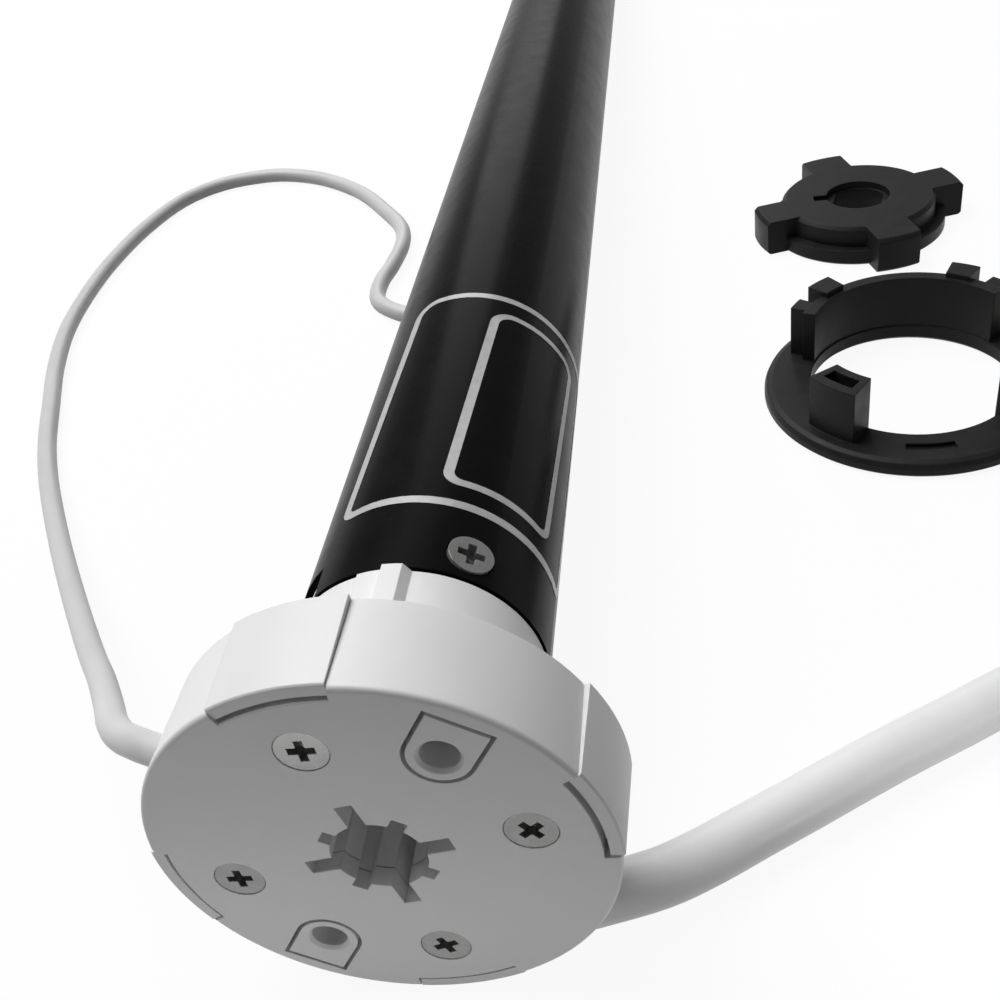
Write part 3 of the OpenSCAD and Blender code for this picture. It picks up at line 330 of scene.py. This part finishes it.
def material(name, color, rough, metal=0.0, specular=0.5, grain=900.0, vary=0.06, rough_vary=0.06,
             bump=0.02, bump_grain=None, bevel=0.0, stretch=(1, 1, 1)):
    mat = bpy.data.materials.new(name)
    mat.use_nodes = True
    nodes = mat.node_tree.nodes
    links = mat.node_tree.links
    shader = nodes["Principled BSDF"]
    shader.inputs["Metallic"].default_value = metal
    shader.inputs["Specular IOR Level"].default_value = specular
    place = nodes.new("ShaderNodeTexCoord")
    mapping = nodes.new("ShaderNodeMapping")
    mapping.inputs["Scale"].default_value = stretch
    links.new(place.outputs["Object"], mapping.inputs["Vector"])
    cloud = nodes.new("ShaderNodeTexNoise")
    cloud.inputs["Scale"].default_value = grain
    cloud.inputs["Detail"].default_value = CLOUD_DETAIL
    links.new(mapping.outputs["Vector"], cloud.inputs["Vector"])
    ramp = nodes.new("ShaderNodeValToRGB")
    darker, lighter = ramp.color_ramp.elements
    darker.position = NOISE_LOW
    lighter.position = NOISE_HIGH
    darker.color = [c * (1 - vary) for c in color] + [1]
    lighter.color = [min(1.0, c * (1 + vary)) for c in color] + [1]
    links.new(cloud.outputs["Fac"], ramp.inputs["Fac"])
    links.new(ramp.outputs["Color"], shader.inputs["Base Color"])
    spread = nodes.new("ShaderNodeMapRange")
    spread.inputs["From Min"].default_value = NOISE_LOW
    spread.inputs["From Max"].default_value = NOISE_HIGH
    spread.inputs["To Min"].default_value = rough - rough_vary
    spread.inputs["To Max"].default_value = rough + rough_vary
    links.new(cloud.outputs["Fac"], spread.inputs["Value"])
    links.new(spread.outputs["Result"], shader.inputs["Roughness"])
    fine = nodes.new("ShaderNodeTexNoise")
    fine.inputs["Scale"].default_value = bump_grain or grain * BUMP_FINENESS
    fine.inputs["Detail"].default_value = BUMP_DETAIL
    links.new(mapping.outputs["Vector"], fine.inputs["Vector"])
    relief = nodes.new("ShaderNodeBump")
    relief.inputs["Strength"].default_value = 1.0
    relief.inputs["Distance"].default_value = bump * MM
    links.new(fine.outputs["Fac"], relief.inputs["Height"])
    if bevel:
        edge = nodes.new("ShaderNodeBevel")
        edge.samples = BEVEL_SAMPLES
        edge.inputs["Radius"].default_value = bevel * MM
        links.new(edge.outputs["Normal"], relief.inputs["Normal"])
    links.new(relief.outputs["Normal"], shader.inputs["Normal"])
    return mat


def grey(v):
    return (v, v, v)


LOOKS = {
    "white_plastic": dict(color=grey(0.84), rough=0.42, grain=140, vary=0.012,
                          bump=0.006, bump_grain=3500, bevel=0.15),
    "white_jacket": dict(color=grey(0.84), rough=0.36, grain=180, vary=0.02, bump=0.01, bump_grain=1500),
    "antenna_jacket": dict(color=grey(0.64), rough=0.38, grain=180, vary=0.03, bump=0.008, bump_grain=1500),
    "collar_rubber": dict(color=grey(0.70), rough=0.55, grain=300, vary=0.03, bump=0.01, bevel=0.15),
    "black_tube": dict(color=grey(0.005), rough=0.27, specular=0.025, grain=260, vary=0.12,
                       rough_vary=0.03, bump=0.002, bump_grain=5000, bevel=0.1),
    "black_plastic": dict(color=grey(0.017), rough=0.42, specular=0.13, grain=420, vary=0.16,
                          bump=0.012, bump_grain=2400, bevel=0.3),
    "zinc_steel": dict(color=(0.28, 0.28, 0.276), rough=0.27, metal=0.5, grain=700,
                       bump=0.003, bump_grain=2500, bevel=0.12),
    "print_silver": dict(color=grey(0.48), rough=0.40, metal=0.25, vary=0.07, bump=0.002, bump_grain=6000),
    "carrier_plastic": dict(color=(0.06, 0.06, 0.065), rough=0.5, bump=0.01),
    "board_green": dict(color=(0.02, 0.11, 0.045), rough=0.35, grain=500, vary=0.15),
    "relay_blue": dict(color=(0.03, 0.12, 0.38), rough=0.38, bevel=0.3),
    "module_metal": dict(color=(0.68, 0.68, 0.69), rough=0.3, metal=1.0, bump=0.003, bevel=0.2),
    "capacitor_case": dict(color=(0.62, 0.63, 0.66), rough=0.28, bevel=0.3),
    "lead_brown": dict(color=(0.16, 0.07, 0.03), rough=0.42, grain=400, vary=0.08),
    "core_blue": dict(color=(0.02, 0.08, 0.36), rough=0.42, grain=400, vary=0.08),
    "core_earth": dict(color=(0.22, 0.36, 0.03), rough=0.42, grain=400, vary=0.25),
    "laminations": dict(color=(0.30, 0.31, 0.33), rough=0.4, metal=1.0, grain=300, stretch=(1, 12, 1)),
    "copper": dict(color=(0.62, 0.26, 0.11), rough=0.32, metal=1.0, grain=700, vary=0.18, bump=0.03),
    "cast_shield": dict(color=(0.55, 0.56, 0.57), rough=0.45, metal=1.0, bevel=0.2),
    "bronze": dict(color=(0.50, 0.32, 0.12), rough=0.4, metal=1.0, bump=0.004, bevel=0.1),
    "ground_steel": dict(color=(0.58, 0.59, 0.60), rough=0.26, metal=1.0, grain=700, vary=0.08,
                         bump=0.003, bump_grain=2500, bevel=0.1, stretch=(1, 6, 1)),
    "magnet": dict(color=(0.07, 0.07, 0.075), rough=0.4, metal=1.0, bevel=0.1),
    "lining": dict(color=(0.13, 0.085, 0.055), rough=0.75, grain=1500, vary=0.25, bump=0.04),
    "gear_steel": dict(color=(0.46, 0.46, 0.45), rough=0.36, metal=1.0, grain=1200, vary=0.1,
                       bump=0.003, bevel=0.06),
    "planet_plastic": dict(color=(0.74, 0.68, 0.54), rough=0.4, bevel=0.06),
    "tie_fabric": dict(color=(0.018, 0.018, 0.02), rough=0.85, grain=1800, vary=0.3, bump=0.08),
}
materials = {name: material(name, **look) for name, look in LOOKS.items()}
for part in frame["record"]["subparts"]:
    node = frame["nodes"][part["node"]]
    node.data.materials.clear()
    node.data.materials.append(materials[part["material_slot"]])
for obj, slot in ((mains, "white_jacket"), (antenna, "antenna_jacket")):
    obj.data.materials.append(materials[slot])
for obj in (outer_frame, inner_frame):
    obj.data.materials.append(materials["print_silver"])


def maths(nodes, links, operation, a, b):
    node = nodes.new("ShaderNodeMath")
    node.operation = operation
    links.new(a, node.inputs[0])
    links.new(b, node.inputs[1])
    return node.outputs[0]


# The rays that see a white background: the camera's own, and those that mirrors and glass pass on
def seen_rays(nodes, links):
    path = nodes.new("ShaderNodeLightPath")
    glossy = path.outputs["Is Glossy Ray"]
    passed = maths(nodes, links, "MAXIMUM", glossy, path.outputs["Is Transmission Ray"])
    return path.outputs["Is Camera Ray"], passed


# A pale floor under everything, tilted with the table that the motor lies on
# Seen rays get a share of plain white glow, and the matte rest keeps the object's shadow
FLOOR_GLOW_SHARE = 0.76
FLOOR_GLOW = 1.22
FLOOR_MATTE = 0.29
FLOOR_REACH = 8000
FLOOR_GAP = 0.03


def floor_material():
    mat = bpy.data.materials.new("pale_floor")
    mat.use_nodes = True
    nodes = mat.node_tree.nodes
    links = mat.node_tree.links
    nodes.clear()
    out = nodes.new("ShaderNodeOutputMaterial")
    share = nodes.new("ShaderNodeMath")
    share.operation = "MULTIPLY"
    share.inputs[1].default_value = FLOOR_GLOW_SHARE
    links.new(maths(nodes, links, "MAXIMUM", *seen_rays(nodes, links)), share.inputs[0])
    matte = nodes.new("ShaderNodeBsdfDiffuse")
    matte.inputs["Color"].default_value = (*grey(FLOOR_MATTE), 1)
    glow = nodes.new("ShaderNodeEmission")
    glow.inputs["Color"].default_value = WHITE
    glow.inputs["Strength"].default_value = FLOOR_GLOW
    mix = nodes.new("ShaderNodeMixShader")
    links.new(share.outputs[0], mix.inputs["Fac"])
    links.new(matte.outputs["BSDF"], mix.inputs[1])
    links.new(glow.outputs["Emission"], mix.inputs[2])
    links.new(mix.outputs["Shader"], out.inputs["Surface"])
    return mat


floor_mesh = bpy.data.meshes.new("floor")
floor_corners = [(-FLOOR_REACH, -FLOOR_REACH), (FLOOR_REACH, -FLOOR_REACH),
                 (FLOOR_REACH, FLOOR_REACH), (-FLOOR_REACH, FLOOR_REACH)]
floor_verts = [(x * MM, y * MM, (table_z(y) - FLOOR_GAP) * MM) for x, y in floor_corners]
floor_mesh.from_pydata(floor_verts, [], [(0, 1, 2, 3)])
floor = add_object("floor", floor_mesh)
floor_mesh.materials.append(floor_material())

# The world: dim light, a background as pale as the far floor, and a sky that is greyer high up in mirrors
# The heights are those of the way a ray goes, from 0 at the horizon to 1 straight up
WORLD_DIM = 0.055
BACKGROUND = 0.94
PALE_SKY_HEIGHT = 0.02
GREY_SKY_HEIGHT = 0.14
MIRRORED_SKY = 0.3

world = bpy.data.worlds.new("studio")
scene.world = world
world.use_nodes = True
world_nodes = world.node_tree.nodes
world_links = world.node_tree.links
world_nodes.clear()


def background(strength):
    node = world_nodes.new("ShaderNodeBackground")
    node.inputs["Color"].default_value = WHITE
    node.inputs["Strength"].default_value = strength
    return node.outputs["Background"]


world_out = world_nodes.new("ShaderNodeOutputWorld")
way = world_nodes.new("ShaderNodeTexCoord")
height = world_nodes.new("ShaderNodeSeparateXYZ")
world_links.new(way.outputs["Generated"], height.inputs["Vector"])
sky = world_nodes.new("ShaderNodeMapRange")
sky.interpolation_type = "SMOOTHSTEP"
sky.inputs["From Min"].default_value = PALE_SKY_HEIGHT
sky.inputs["From Max"].default_value = GREY_SKY_HEIGHT
sky.inputs["To Min"].default_value = 1.0
sky.inputs["To Max"].default_value = MIRRORED_SKY
world_links.new(height.outputs["Z"], sky.inputs["Value"])
camera_ray, passed_ray = seen_rays(world_nodes, world_links)
mirrored = maths(world_nodes, world_links, "MULTIPLY", passed_ray, sky.outputs["Result"])
shown = maths(world_nodes, world_links, "MAXIMUM", camera_ray, mirrored)
pick = world_nodes.new("ShaderNodeMixShader")
world_links.new(shown, pick.inputs["Fac"])
world_links.new(background(WORLD_DIM), pick.inputs[1])
world_links.new(background(BACKGROUND), pick.inputs[2])
world_links.new(pick.outputs["Shader"], world_out.inputs["Surface"])


# Soft boxes, in metres and watts, and two small cards that the camera doesn't see
def soft_box(name, place, target, width, height, power):
    data = bpy.data.lights.new(name, "AREA")
    data.shape = "RECTANGLE"
    data.size = width
    data.size_y = height
    data.energy = power
    obj = add_object(name, data)
    obj.location = place
    obj.rotation_euler = (Vector(target) - Vector(place)).to_track_quat("-Z", "Y").to_euler()
    return obj


soft_box("key", place=(-0.40, 0.33, 0.95), target=(0.0, 0.10, 0.0), width=0.9, height=0.9, power=12.6)
soft_box("rim", place=(0.65, 0.95, 0.16), target=(0.0, 0.12, 0.0), width=0.5, height=0.25, power=0.2)
soft_box("back_light", place=(-0.13, 1.0, 0.5), target=(0.0, 0.10, 0.0), width=0.40, height=0.6, power=1.3)
front_card = soft_box("front_card", place=(-0.002, -0.032, -0.0165), target=(0.0, 0.0, -0.010),
                      width=0.08, height=0.008, power=0.0036)
cable_card = soft_box("cable_card", place=(0.062, 0.008, -0.012), target=(0.046, 0.025, -0.017),
                      width=0.03, height=0.008, power=0.002)
for card in (front_card, cable_card):
    card.visible_camera = False
scene.view_settings.view_transform = "Standard"

# The scene's transforms are brought up to date
bpy.context.view_layer.update()
